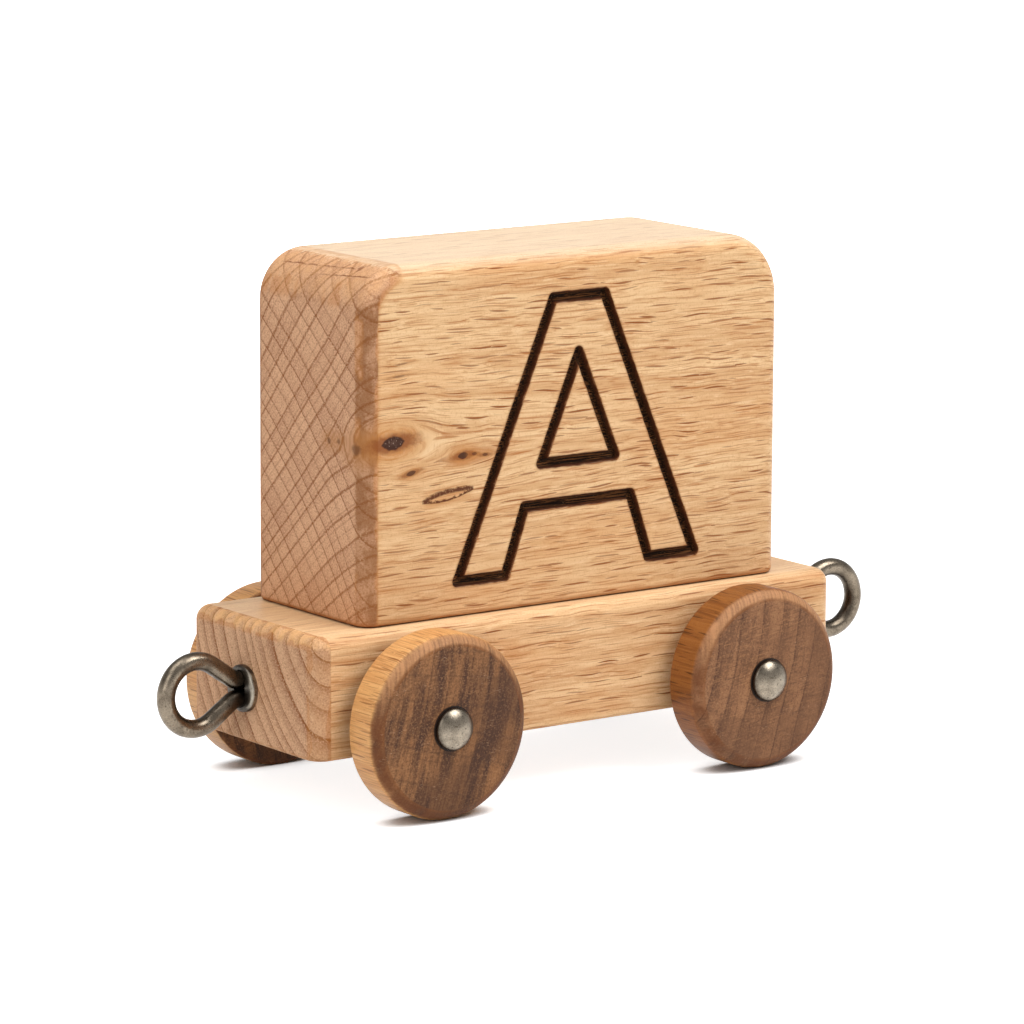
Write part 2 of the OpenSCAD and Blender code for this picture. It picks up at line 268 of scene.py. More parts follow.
def dashes(g, along, across, depth, kind, size, seed):
    """Lens-shaped flecks, at most one to a cell, as a mask from 0 to 1. size stretches them and their
    spacing, but not their thickness."""
    (cell_a, cell_b, cell_c), (half_a, half_b, half_c), share = kind
    cell_a, cell_b, half_a = cell_a * size, cell_b * size, half_a * size
    node = g.add("ShaderNodeTexVoronoi", voronoi_dimensions="3D", feature="F1")
    point = [along / cell_a + seed, across / cell_b - seed, depth / cell_c + seed]
    g.put(node.inputs["Vector"], g.vector(*point))
    node.inputs["Scale"].default_value = 1.0
    node.inputs["Randomness"].default_value = 1.0
    middle = g.split(node.outputs["Position"])
    chance = g.split(node.outputs["Color"])
    a = (point[0] - middle[0]) * cell_a / (half_a * (0.6 + chance[0] * 0.8))
    b = g.size(point[1] - middle[1]) * cell_b / half_b
    c = (point[2] - middle[2]) * cell_c / half_c
    body = 1 - a * a - b - c * c
    return g.step(body, 0.0, 0.3) * g.step(chance[1], 1 - share, 1.1 - share) * (chance[2] * 0.45 + 0.55)


def timber(g, along, p, q, facing, look, seed, feather=0.1, flecks_at=None, upward=0.0, calm=1.0):
    """Colour, roughness and height of wood. along runs with the grain, p and q across it, all in mm.
    facing is the share of the normal that points along the grain, look gives sizes and colours, feather
    is how raggedly end grain begins, flecks_at gives coordinates across the flecks and in depth, upward
    is the share of the painted pale sheen on top, under which the flecks fade, and calm that of the flecks."""
    warp = g.noise(along / 60 + seed, p / 18, q / 18, detail=1.0) - 0.5
    sway = g.noise(along / look["wave_length"] + seed, p / 4.0, q / 4.0, detail=1.0) - 0.5
    from_p, from_q = p - look["pith_at"][0], q - look["pith_at"][1]
    arc = g.math("ARCTAN2", from_q, from_p) * look["rays_far"]
    ring_at = g.distance(from_p, from_q) + warp * look["warp"] + seed
    ray_at = arc + warp * look["warp"] * 0.6 - seed
    wavy_ring = ring_at + sway * look["wave"]
    wavy_ray = ray_at + sway * look["wave"]

    # Faces that follow the grain: long fibres, streaks, and the cut ends of the rays as dark flecks
    fibre = g.noise(along / 8 + seed, wavy_ring / 0.26, wavy_ray / 0.26, detail=2.0, rough=0.6)
    streak = g.noise(along / 48 + seed, wavy_ring / 1.5, wavy_ray / 1.5, detail=3.0, rough=0.6)
    cloud = g.noise(along / 26 + seed, p / 9, q / 9, detail=1.0)
    speck = g.noise(along / 0.24, p / 0.24, q / 0.24, detail=1.0)
    across, deep = flecks_at or (q + p * 0.6, p - q * 0.6)
    across = across + sway * look["wave"]
    strong = dashes(g, along, across, deep, STRONG_FLECKS, look["fleck"], seed)
    middling = dashes(g, along, across, deep, MIDDLING_FLECKS, look["fleck"], seed + 3)
    thin = dashes(g, along, across, deep, THIN_FLECKS, look["fleck"], seed + 5)
    soft = g.most(middling, thin * 0.8) * calm
    side = g.mix(look["side_light"], look["side_dark"], g.step(streak, 0.32, 0.7))
    side = g.mix(side, look["side_warm"], g.step(cloud, 0.45, 0.75) * 0.4)
    side = g.mix(side, look["side_line"], g.step(fibre, 0.5, 0.75) * look["fibre_share"])
    side = g.mix(side, look["side_pale"], g.step(fibre, 0.47, 0.27) * 0.6)
    # Painted sheen: faces that look up are painted paler and greyer, and their flecks fainter
    side = g.mix(side, look["side_top"], upward * look["top_share"])
    faint = (1 - upward * 0.6) * look["fleck_share"]
    side = g.mix(side, look["fleck_soft"], soft * faint * 0.75)
    side = g.mix(side, look["fleck_dark"], strong * calm * faint)
    side = g.mix(side, look["side_line"], g.step(speck, 0.52, 0.78) * 0.25)

    # End grain drinks more oil: darker, with rings, rays and a fine stipple
    turn, ring_tone = g.years(ring_at + sway * 0.3, look["ring"], seed)
    ray_edge, ray_tone = g.bands(ray_at + sway * 0.25, look["ray"])
    ray_fine, _ = g.bands(ray_at + sway * 0.3 + 17, look["ray"] * 0.6)
    smear = g.noise(along / 30, ring_at / look["smear"], ray_at / 11 + seed, detail=3.0, rough=0.62)
    tone = g.step(ring_tone, 0.1, 0.9) * look["ring_share"] + g.step(ray_tone, 0.1, 0.9) * look["ray_share"]
    tone = tone + g.step(smear, 0.38, 0.66) * look["smear_share"]
    tone = tone + g.step(turn, 0.75, 0.0) * look["late_share"]
    end = g.mix(look["end_light"], look["end_dark"], tone)
    fade = g.step(cloud, 0.3, 0.65, 0.45, 1.0)
    line = g.step(turn, look["line"], look["line"] * 0.3) * g.step(turn, 0.0, 0.04)
    end = g.mix(end, look["end_line"], line * look["ring_line"] * g.step(ring_tone, 0.0, 0.5, 0.4, 1.0))
    end = g.mix(end, look["end_line"], g.step(ray_edge, 0.04, 0.28, look["ray_line"], 0.0))
    end = g.mix(end, look["end_line"], g.step(ray_fine, 0.02, 0.2, look["ray_line"] * 0.5, 0.0) * fade)
    end = g.mix(end, look["end_line"], g.step(speck, 0.5, 0.75) * look["stipple"])
    end = g.mix(end, look["end_pale"], g.step(speck, 0.48, 0.28) * look["stipple"])

    ragged = (fibre - 0.5) * feather * g.step(facing, 0.0, 0.15)
    endness = g.step(facing + ragged, look["end_from"], look["end_to"])
    colour = g.mix(side, end, endness)
    rough = 0.36 + speck * 0.12 + endness * 0.2
    height = (fibre - 0.5) * 0.5 + (speck - 0.5) * 0.4
    return colour, rough, height


def rounding(g, colour, facing, upward, place, look):
    """Sanded roundings into the end grain: darker at the sides, painted lighter where they look up as a
    painted highlight, with an orange line at either edge.
    """
    x, y, z = place
    patch = g.noise(x / 1.6, y / 1.6, z / 3.6, detail=2.0)
    scallop = g.noise(x / 2.6 + 7, y / 2.6, z / 5.2, detail=1.0)
    ragged = facing + (patch - 0.5) * 0.35 + g.step(scallop, 0.3, 0.7, -0.15, 0.12)
    inside = g.step(ragged, 0.02, 0.2) * g.step(ragged, 1.0, 0.93)
    inside = inside * g.step(facing, 0.003, 0.08) * g.step(facing, 1.0, 0.96)
    low = g.step(upward, 0.35, 0.05) * g.step(patch, 0.35, 0.62, 0.45, 1.0)
    # Painted highlight: roundings that look up are painted lighter
    high = g.step(upward, 0.1, 0.5) * g.step(patch, 0.3, 0.7, 0.15, 0.5)
    outer_edge = g.step(ragged, 0.88, 0.96) * g.step(facing, 1.0, 0.97)
    inner_edge = g.step(facing, 0.0, 0.05) * g.step(ragged, 0.22, 0.06)
    colour = g.mix(colour, look["round"], inside * low * look["round_share"])
    colour = g.mix(colour, look["round_top"], inside * high)
    colour = g.mix(colour, look["round_line"], outer_edge * 0.35)
    return g.mix(colour, look["round_line"], inner_edge * 0.45)


# Looks of the three woods. The pith's place and the spacings of rings and rays are in mm.
BEECH = {
    "pith_at": (88, -39), "rays_far": 124, "ring": 2.3, "ray": 2.7, "warp": 1.4,
    "wave": 1.1, "wave_length": 7, "fibre_share": 0.6, "fleck": 1.0, "fleck_share": 0.9,
    "end_from": 0.02, "end_to": 0.14, "top_share": 0.7,
    "side_light": rgb(239, 200, 151), "side_dark": rgb(217, 169, 120), "side_warm": rgb(221, 162, 106),
    # The colour for faces that look up is a painted sheen, paler and greyer than the wood
    "side_line": rgb(180, 108, 52), "side_pale": rgb(246, 212, 166), "side_top": rgb(232, 211, 182),
    "fleck_dark": rgb(132, 64, 18), "fleck_soft": rgb(170, 98, 40),
    "end_light": rgb(219, 171, 133), "end_dark": rgb(186, 137, 104), "end_line": rgb(132, 74, 34),
    "end_pale": rgb(236, 194, 154), "ring_line": 0.75, "line": 0.19, "ray_line": 0.72, "ring_share": 0.28,
    "late_share": 0.2, "ray_share": 0.25, "smear": 2.2, "smear_share": 0.15, "stipple": 0.5,
    # The colour for roundings that look up is a painted highlight
    "round": rgb(138, 86, 46), "round_top": rgb(218, 164, 112), "round_line": rgb(190, 120, 56),
    "round_share": 0.75,
}
BAR = dict(
    BEECH, pith_at=(-32.8, 36.3), rays_far=34, ray=6.5, ring_line=0.9, line=0.14,
    late_share=0.6, ray_line=0.15, ring_share=0.15, ray_share=0.1, fleck=1.3, fleck_share=0.95,
    # Its colour for faces that look up is a painted sheen too
    fibre_share=0.45, top_share=0.5, side_top=rgb(240, 208, 164),
    side_light=rgb(240, 199, 150), side_dark=rgb(213, 160, 111), side_warm=rgb(223, 163, 107),
    end_light=rgb(217, 172, 134), end_dark=rgb(166, 118, 86),
    # Its colour for roundings that look up is a painted highlight too
    round=rgb(196, 142, 92), round_share=0.35, round_top=rgb(240, 186, 118),
)
WHEEL = dict(
    BEECH, rays_far=90, ring=3.2, ray=3.6, warp=2.4, wave=0.5, fleck=0.85, fleck_share=0.75,
    ring_line=0.35, ray_line=0.3, ring_share=0.15, ray_share=0.05, smear=1.7, smear_share=0.85,
    stipple=0.45, end_from=0.25, end_to=0.7, top_share=0.0, cross=0.3,
    side_light=rgb(230, 175, 112), side_dark=rgb(212, 152, 92), side_warm=rgb(210, 144, 78),
    side_line=rgb(166, 104, 52), side_pale=rgb(240, 192, 132),
    fleck_dark=rgb(140, 82, 36), fleck_soft=rgb(156, 96, 46),
    end_light=rgb(154, 105, 65), end_dark=rgb(74, 45, 28), end_line=rgb(50, 28, 16),
    end_pale=rgb(176, 126, 84),
    # The chamfer's colour above is a painted highlight, and its colour below is painted shade
    rim_worn=rgb(204, 148, 100), rim_oiled=rgb(108, 58, 20), rim_line=rgb(124, 70, 28),
    scratch=rgb(196, 156, 124), nail_shade=rgb(20, 11, 7),
)
# Marks on the letter block, and the painted shade at its foot
MARKS = {
    "stain": rgb(178, 112, 60), "knot_halo": rgb(196, 128, 62), "knot_tips": rgb(132, 68, 30),
    "knot": rgb(50, 26, 18), "knot_core": rgb(84, 58, 46), "knot_dust": rgb(190, 160, 140),
    "bark_halo": rgb(200, 138, 82), "bark": rgb(82, 36, 12), "trace_halo": rgb(176, 118, 66),
    "trace": rgb(104, 66, 42), "crack": rgb(128, 74, 44), "chip": rgb(128, 74, 48),
    # The colours for the block's foot are painted shade
    "foot_shade": rgb(196, 138, 86), "foot_oil": rgb(168, 108, 64), "foot_dirt": rgb(74, 40, 20),
    "scorch": rgb(150, 88, 40), "burn": rgb(72, 34, 12), "char": rgb(27, 12, 4),
    "ember": rgb(124, 78, 42), "groove_dust": rgb(126, 98, 66),
}
# Pits, and the patina and painted shade, on the metal
PIT_COLOUR, PATINA_AND_PAINTED_DARK_COLOUR = rgb(60, 50, 42), rgb(34, 26, 21)

# Knots on the front of the block, from its left edge and its foot, in mm: place, half length,
# half height, tilt in degrees, how far the grain bends round each, and how dark each is
KNOTS = (
    (4.74, 24.49, 1.6, 0.9, 5.0, 3.4, 1.0),
    (16.04, 21.78, 0.75, 0.45, 5.0, 1.0, 0.9),
    (17.9, 21.85, 0.4, 0.2, 0.0, 0.4, 0.6),
    (19.64, 21.57, 0.42, 0.2, 0.0, 0.4, 0.7),
    (7.63, 20.2, 0.7, 0.3, 13.0, 0.7, 0.8),
    (5.6, 33.3, 0.9, 0.13, 4.0, 0.3, 0.45),
    (6.1, 34.9, 0.9, 0.11, 6.0, 0.3, 0.4),
)
# The bark pocket: place, half length, half height and tilt in degrees
BARK = (13.6, 16.6, 4.1, 0.55, 8.0)
# The stain behind the second knot: place, squares of its half length and half height, and tilt
STAIN = (17.5, 21.7, 27, 1.4, 7.0)
# Traces of the same knot on the end, as place along Y and Z, and half size, in mm
TRACES = ((-5.1, 49.0, 0.45), (-7.4, 49.2, 0.4), (-11.2, 48.6, 0.8))
# Fine cracks over the rounded top edge: height at Y = 0, slope, and where each ends along Y, in mm
CRACKS = ((71.47, -0.043, -7.2, 9.9), (70.48, -0.061, -11.5, 0.5))
# A chip beside them, as place along Y and Z in mm
CHIP = (-7.3, 71.85)


def leaning(x, z, spot):
    """Coordinates from a spot's middle, along its tilt and across it."""
    tilt = math.radians(spot[4])
    from_x, from_z = x - spot[0], z - spot[1]
    along = from_x * math.cos(tilt) + from_z * math.sin(tilt)
    across = from_z * math.cos(tilt) - from_x * math.sin(tilt)
    return along, across


def add_knots(g, colour, bx, bz, ragged, dust, on_front):
    """Knots and the bark pocket. bx and bz are mm from the block's left edge and from its foot."""
    along, across = leaning(bx, bz, STAIN)
    reach = along * along / STAIN[2] + across * across / STAIN[3] + ragged * 0.9
    colour = g.mix(colour, MARKS["stain"], g.step(reach, 1.1, 0.2) * 0.5 * on_front)
    for spot in KNOTS:
        along, across = leaning(bx, bz, spot)
        a, b = along / spot[2], across / spot[3]
        reach = g.size(b) * 0.75 + a * a * 0.8 + b * b * 0.25 + ragged * 0.5
        halo = g.step(g.distance(a, b) + ragged * 0.9, 4.6, 1.4) * g.step(ragged, -0.3, 0.3, 0.4, 0.8)
        tips = g.math("SQRT", a * a * 0.2 + b * b * 0.75) + ragged * 0.9
        shown = on_front * spot[6]
        colour = g.mix(colour, MARKS["knot_halo"], halo * shown)
        colour = g.mix(colour, MARKS["knot_tips"], g.step(tips, 1.6, 0.75) * 0.8 * shown)
        colour = g.mix(colour, MARKS["knot"], g.step(reach, 1.25, 0.85) * 0.94 * shown)
        if spot[2] > 1:
            core = g.step(reach + ragged * 1.2, 0.6, 0.0) * 0.8
            dusty = g.step(dust, 0.6, 0.72) * g.step(reach, 0.9, 0.5) * 0.6
            colour = g.mix(colour, MARKS["knot_core"], core * shown)
            colour = g.mix(colour, MARKS["knot_dust"], dusty * shown)
    along, across = leaning(bx, bz, BARK)
    inside = 1 - (along / BARK[2]) * (along / BARK[2])
    rim = g.size(g.size(across + ragged * 0.3) - g.most(inside, 0.0) * BARK[3])
    thick = g.step(across, -0.5, 0.5, 0.2, 0.5)
    loop = g.step((rim + ragged * 0.45) / thick, 1.0, 0.3) * g.step(inside, -0.12, 0.05) * on_front
    halo = g.step(inside, -0.3, 0.6) * g.step(g.size(across), 1.6, 0.6) * 0.5
    colour = g.mix(colour, MARKS["bark_halo"], halo * on_front)
    return g.mix(colour, MARKS["bark"], loop * g.step(dust, 0.7, 0.54, 0.65, 0.95))


def add_end_marks(g, colour, from_left, y, z, ragged):
    """Traces of the knot, fine cracks and a chip on the left end. from_left is mm from that end."""
    on_end = g.step(from_left, 2.5, 0.8)
    on_edge = g.step(from_left, 6.0, 4.5)
    for spot_y, spot_z, half in TRACES:
        reach = g.distance(y - spot_y, z - spot_z) / half + ragged
        colour = g.mix(colour, MARKS["trace_halo"], g.step(reach, 5.5, 1.5) * 0.4 * on_end)
        colour = g.mix(colour, MARKS["trace"], g.step(reach, 1.3, 0.5) * 0.7 * on_end)
    bend = g.noise(y / 2.2, z / 9, 3.0, detail=2.0) - 0.5
    for high, slope, first, last in CRACKS:
        gap = g.size(z - y * slope - high + ragged * 0.2 + bend * 0.5)
        run = g.step(y, first - 0.4, first + 1.5) * g.step(y, last + 0.4, last - 2.5)
        broken = g.step(bend + ragged * 0.5, 0.12, -0.12, 0.25, 0.9)
        colour = g.mix(colour, MARKS["crack"], g.step(gap, 0.13, 0.02) * run * on_edge * broken)
    chip = g.size(y - CHIP[0]) + g.size(z - CHIP[1]) * 1.5 + ragged * 0.9
    return g.mix(colour, MARKS["chip"], g.step(chip, 0.7, 0.3) * on_edge * 0.7)


def burn(g, colour, from_line, x, y, z, nx, dust):
    """The burnt groove: brown at its lips, charcoal at its bottom, with streaks of the grain left in it.
    from_line is the distance from the letter's centre line in mm."""
    grit = g.noise(x / 1.4, y / 0.12, z / 0.12, detail=3.0, rough=0.6) - 0.5
    scorch = g.noise(x / 2.5, y / 2.5, z / 1.2, detail=2.0) - 0.5
    ember = g.noise(x / 5, y / 0.16, z / 0.13, detail=2.0)
    edge = from_line + scorch * 0.25 + grit * 0.25
    in_groove = g.step(from_line, 0.7, 0.3)
    along_grain = g.step(g.size(nx), 0.3, 0.1, 0.4, 0.9)
    colour = g.mix(colour, MARKS["scorch"], g.step(edge, 1.15, 0.75) * 0.5)
    colour = g.mix(colour, MARKS["burn"], g.step(edge, 0.9, 0.68))
    colour = g.mix(colour, MARKS["char"], g.step(edge + grit * 0.5, 0.7, 0.42))
    colour = g.mix(colour, MARKS["ember"], g.step(ember, 0.46, 0.64) * in_groove * along_grain)
    return g.mix(colour, MARKS["groove_dust"], g.step(dust, 0.64, 0.76) * in_groove * 0.5)


def block_material(left, foot, front):
    """Oiled beech of the letter block, whose low corner in mm is given."""
    g = Graph("oiled_beech_block")
    (x, y, z), (nx, _, nz) = g.place()
    bx, bz = x - left, z - foot
    near_front = g.step(y, front + 9, front + 1)

    # The grain bends round each knot, as water does round a stone
    bent, strain = z, 0.0
    for spot in KNOTS:
        from_x, from_z = (bx - spot[0]) * 0.42, bz - spot[1]
        reach = spot[5] ** 2
        away = from_x * from_x + from_z * from_z + reach * 0.35
        bent = bent - from_z * reach / away * near_front * 0.9
        strain = g.math("DIVIDE", reach, away) + strain
    facing = g.most(-nx, g.step(nx, 0.62, 0.95)) - g.step(nz, 0.6, 1.0) * 0.22
    upward = g.step(nz, 0.4, 1.0)
    feather = g.step(nz, 0.1, 0.8, 0.1, 0.9)
    calm = g.step(strain * near_front, 1.6, 0.8)
    colour, rough, height = timber(g, x, y, bent, facing, BEECH, 3.1, feather, None, upward, calm)
    colour = rounding(g, colour, -nx, nz, (x, y, z), BEECH)

    ragged = g.noise(x / 0.7, y / 0.7, z / 0.45, detail=3.0, rough=0.6) - 0.5
    dust = g.noise(x / 0.22, y / 0.22, z / 0.2, detail=1.0)
    colour = add_knots(g, colour, bx, bz, ragged, dust, g.step(y, front + 3.2, front + 1.2))
    colour = add_end_marks(g, colour, bx, y, z, ragged)

    # Painted shade where the block meets the bar: darker towards its foot, a darker band just above the
    # joint and a near-black line at it
    colour = g.mix(colour, MARKS["foot_shade"], g.step(bz, 16.0, 2.0) * 0.15)
    colour = g.mix(colour, MARKS["foot_oil"], g.step(bz, 1.0, 0.4) * 0.5)
    colour = g.mix(colour, MARKS["foot_dirt"], g.step(bz, 0.32, 0.12) * 0.9)

    from_line = g.reading("from_line") / MM
    colour = burn(g, colour, from_line, x, y, z, nx, dust)
    rough = rough + g.step(from_line, 0.85, 0.65) * 0.45
    return g.finish(colour, rough, height, depth=0.06, Specular_IOR_Level=0.15)


def bar_material():
    """Oiled beech of the chassis bar."""
    g = Graph("oiled_beech_bar")
    (x, y, z), (nx, _, nz) = g.place()
    facing = g.most(-nx, g.step(nx, 0.62, 0.95))
    upward = g.step(nz, 0.6, 1.0)
    feather = g.step(nz, 0.1, 0.8, 0.1, 0.9)
    colour, rough, height = timber(g, x, y, z, facing, BAR, 11.7, feather, None, upward)
    colour = rounding(g, colour, -nx, nz, (x, y, z), BAR)
    return g.finish(colour, rough, height, depth=0.06, Specular_IOR_Level=0.15)


def dowel_material():
    """Plain turned wood, whose grain runs up the dowel."""
    g = Graph("dowel_birch")
    (x, y, z), (_, _, nz) = g.place()
    colour, rough, height = timber(g, z, x, y, g.size(nz), BEECH, 5.0)
    return g.finish(colour, rough, height, depth=0.05)


def wheel_material(name, tilt, seed, tread):
    """Brown wheel: its faces are end grain with leaning rings, and its tread runs along the axle."""
    g = Graph(name)
    (x, y, z), (_, ny, _) = g.place()
    lean = math.radians(tilt)
    pith = (-PITH_FAR * math.cos(lean), PITH_FAR * math.sin(lean))
    look = dict(WHEEL, pith_at=pith, **tread)
    facing = g.size(ny)
    away = g.distance(x, z)
    round_at = g.math("ARCTAN2", z, x) * WHEEL_R
    colour, rough, height = timber(g, y, x, z, facing, look, seed, 0.15, (round_at, away))

    # Dark hairs along the rings, and bands and drifts of tone across them
    face = g.step(facing, 0.5, 0.9)
    across = x * math.cos(lean) / 0.3 - z * math.sin(lean) / 0.3 + seed
    hair = g.noise(across, z / 6, 2.0, detail=1.0)
    patch = g.noise(x / 4 + seed, z / 4, 1.0, detail=3.0, rough=0.6)
    cross = g.noise(x / 2.6 + z / 20 + seed, z / 0.22 - x / 1.6, 5.0, detail=2.0)
    drift = g.noise(x / 9 - seed, z / 9, 7.0, detail=1.0)
    dark_bands = g.step(cross, 0.56, 0.7) * g.step(patch, 0.3, 0.6)
    pale_bands = g.step(cross, 0.42, 0.3) * g.step(patch, 0.7, 0.4)
    colour = g.mix(colour, look["end_line"], g.step(hair, 0.56, 0.72) * face * 0.4)
    colour = g.mix(colour, look["end_line"], dark_bands * face * look["cross"])
    colour = g.mix(colour, look["end_pale"], pale_bands * face * look["cross"])
    colour = g.mix(colour, look["end_dark"], g.step(drift + (x - z) / 60, 0.42, 0.75) * face * 0.5)

    # The chamfer is painted lighter above as a painted highlight, darker and blotchy below as painted shade,
    # and ends in a brown line
    chamfer_zone = g.step(facing + (patch - 0.5) * 0.5, 0.35, 0.6) * g.step(facing, 0.99, 0.85)
    above = g.step(z, -2.0, 10.0) * g.step(hair, 0.65, 0.35, 0.3, 0.65)
    below = g.step(patch, 0.35, 0.6) * g.step(z, 9.0, 0.0)
    edge = g.step(facing, 0.86, 0.965) * g.step(facing, 1.0, 0.985)
    colour = g.mix(colour, look["rim_worn"], chamfer_zone * above)
    colour = g.mix(colour, look["rim_oiled"], chamfer_zone * below * 0.8)
    colour = g.mix(colour, look["rim_line"], edge * g.step(patch, 0.35, 0.65, 0.15, 0.6))

    # Scratches, and the shade round the nail's head
    scratch_at = g.noise(x / 0.5 + seed, z / 0.12, seed, detail=1.0)
    scratch_on = g.noise(x / 4, z / 2 + seed, 3.0, detail=1.0)
    scratch = g.step(scratch_at, 0.64, 0.72) * g.step(scratch_on, 0.52, 0.65) * face
    colour = g.mix(colour, look["scratch"], scratch * 0.45)
    colour = g.mix(colour, look["nail_shade"], g.step(away, 3.16, 2.98) * face * 0.95)
    return g.finish(colour, rough, height, depth=0.06, Specular_IOR_Level=0.3)


def metal_material(name, light, dark, rough_low, rough_high, seed, patina_and_painted_dark=None):
    """Old nickel: bright where it is handled, with dark patina and specks. The last argument adds dark
    places: patina, and painted shade and reflection.
    """
    g = Graph(name)
    (x, y, z), _ = g.place()
    cloud = g.noise(x / 2.2 + seed, y / 2.2, z / 2.2, detail=3.0, rough=0.6)
    speck = g.noise(x / 0.16 + seed, y / 0.16, z / 0.16, detail=2.0)
    pit = g.noise(x / 0.45 - seed, y / 0.45, z / 0.45, detail=1.0)
    share = g.step(cloud, 0.35, 0.7) * 0.5 + g.step(speck, 0.42, 0.72) * 0.4
    colour = g.mix(light, dark, share)
    colour = g.mix(colour, PIT_COLOUR, g.step(pit, 0.66, 0.78) * 0.7)
    if patina_and_painted_dark:
        colour = g.mix(colour, PATINA_AND_PAINTED_DARK_COLOUR, patina_and_painted_dark(g, x, y, z) * (0.6 + cloud * 0.5))
    rough = g.step(cloud, 0.3, 0.75, rough_low, rough_high) + (speck - 0.5) * 0.15
    height = (cloud - 0.5) * 0.8 + (speck - 0.5) * 0.35
    return g.finish(colour, rough, height, depth=0.03, Metallic=1.0)


def at_rim(g, x, y, z):
    """Painted shade round the edge of a nail's head."""
    return g.step(g.distance(x, z), 2.3, HEAD_R) * 0.75


def at_neck(loop_x):
    """Patina where the legs of an eye meet, and a painted dark reflection inside its loop."""
    def patina_and_painted_dark(g, x, y, z):
        # Painted dark reflection on the inside of the loop
        inside = g.step(g.distance(g.size(x) - loop_x, z), 4.4, 3.5)
        return g.most(g.step(g.size(x), loop_x - 3.6, loop_x - 6.2), inside * 0.6)
    return patina_and_painted_dark


def at_collar(middle_y, middle_z):
    """Patina on a collar near the wire, and painted shade everywhere but in front."""
    def patina_and_painted_dark(g, x, y, z):
        from_y, from_z = y - middle_y, z - middle_z
        near = g.step(g.distance(from_y, from_z), 2.9, 2.2)
        # Painted shade: darker everywhere but at the front of the collar
        away = g.most(g.step(from_y, -0.9, 0.3), g.step(g.size(from_z), 1.9, 2.6))
        return g.most(near, away) * 0.9
    return patina_and_painted_dark


# Meshes
def new_object(name, bm, material, smooth=True):
    mesh = bpy.data.meshes.new(name)
    bm.normal_update()
    bm.to_mesh(mesh)
    bm.free()
    for face in mesh.polygons:
        face.use_smooth = smooth
    obj = bpy.data.objects.new(name, mesh)
    bpy.context.scene.collection.objects.link(obj)
    mesh.materials.append(material)
    return obj


def lathe(name, profile, centre, out, material, turns=160, wobble=0.0):
    """A closed turned piece. profile lists [radius, distance outwards along Y] in mm, as a loop
    that starts and ends on the axis, or goes all round a bore."""
    bm = bmesh.new()
    bored = min(r for r, _ in profile) > 0
    rings = []
    for r, h in profile:
        if r <= 0:
            rings.append([bm.verts.new((0, out * h * MM, 0))])
            continue
        ring = []
        for i in range(turns):
            a = 2 * math.pi * i / turns
            bulge = 1 + wobble * noise.noise((math.cos(a) * 1.5, math.sin(a) * 1.5, h * 0.1 + r)) / r
            wide = r * bulge * MM
            ring.append(bm.verts.new((wide * math.cos(a), out * h * MM, wide * math.sin(a))))
        rings.append(ring)
    pairs = list(zip(rings, rings[1:] + rings[:1])) if bored else list(zip(rings, rings[1:]))
    for one, two in pairs:
        for i in range(turns):
            j = (i + 1) % turns
            corners = [one[i % len(one)], one[j % len(one)], two[j % len(two)], two[i % len(two)]]
            kept = [v for k, v in enumerate(corners) if v not in corners[:k]]
            if len(kept) > 2:
                bm.faces.new(kept)
    bmesh.ops.recalc_face_normals(bm, faces=bm.faces)
    obj = new_object(name, bm, material)
    obj.location = Vector(centre) * MM
    return obj


def rounded(cx, cy, r, from_deg, to_deg, steps, flat=1.0):
    """Points of an arc. flat above 1 draws it in towards a chamfer."""
    points = []
    for i in range(steps + 1):
        a = math.radians(from_deg + (to_deg - from_deg) * i / steps)
        c, s = math.cos(a), math.sin(a)
        points.append([cx + r * math.copysign(abs(c) ** flat, c), cy + r * math.copysign(abs(s) ** flat, s)])
    return points


def segment_gap(px, pz, a, b):
    run_x, run_z = b[0] - a[0], b[1] - a[1]
    t = ((px - a[0]) * run_x + (pz - a[1]) * run_z) / (run_x * run_x + run_z * run_z)
    t = min(1, max(0, t))
    return math.hypot(px - a[0] - t * run_x, pz - a[1] - t * run_z)


def groove_depth(gap, px, pz):
    """Depth of the round-bottomed groove at a distance from its centre line."""
    coarse = noise.noise((px * 0.9, pz * 0.9, 4.0))
    fine = noise.noise((px * 3.1, pz * 3.1, 1.0))
    deep = noise.noise((px * 1.3, pz * 1.3, 8.0))
    share = min(1.0, gap * (1 + 0.07 * coarse + 0.05 * fine) / GROOVE_HALF)
    return GROOVE_DEPTH * (1 - share ** 2.4) ** 0.75 * (1 + 0.08 * deep)


def offset_loop(points, gap):
    """The closed line at a signed distance from a closed line: round outside its corners, sharp inside."""
    count = len(points)
    pairs = zip(points, points[1:] + points[:1])
    if sum(a[0] * b[1] - b[0] * a[1] for a, b in pairs) < 0:
        points = points[::-1]
    ways = []
    for i in range(count):
        a, b = points[i], points[(i + 1) % count]
        length = math.dist(a, b)
        ways.append(((b[0] - a[0]) / length, (b[1] - a[1]) / length))
    corners = []
    for i in range(count):
        before, after = ways[i - 1], ways[i]
        n0, n1 = (before[1], -before[0]), (after[1], -after[0])
        turn = before[0] * after[1] - before[1] * after[0]
        x, z = points[i]
        if turn * gap > 0:
            a0, a1 = math.atan2(n0[1], n0[0]), math.atan2(n1[1], n1[0])
            sweep = (a1 - a0 + math.pi) % (2 * math.pi) - math.pi
            steps = max(2, round(abs(sweep) * abs(gap) / CORNER_SPACING))
            angles = [a0 + sweep * k / steps for k in range(steps + 1)]
            corners.append([(x + gap * math.cos(t), z + gap * math.sin(t)) for t in angles])
        else:
            scale = gap / (1 + n0[0] * n1[0] + n0[1] * n1[1])
            corners.append([(x + (n0[0] + n1[0]) * scale, z + (n0[1] + n1[1]) * scale)])
    loop = []
    for i in range(count):
        loop += corners[i]
        a, b = corners[i][-1], corners[(i + 1) % count][0]
        steps = max(1, round(math.dist(a, b) / SPACING))
        loop += [(a[0] + (b[0] - a[0]) * k / steps, a[1] + (b[1] - a[1]) * k / steps)
                 for k in range(1, steps)]
    return loop


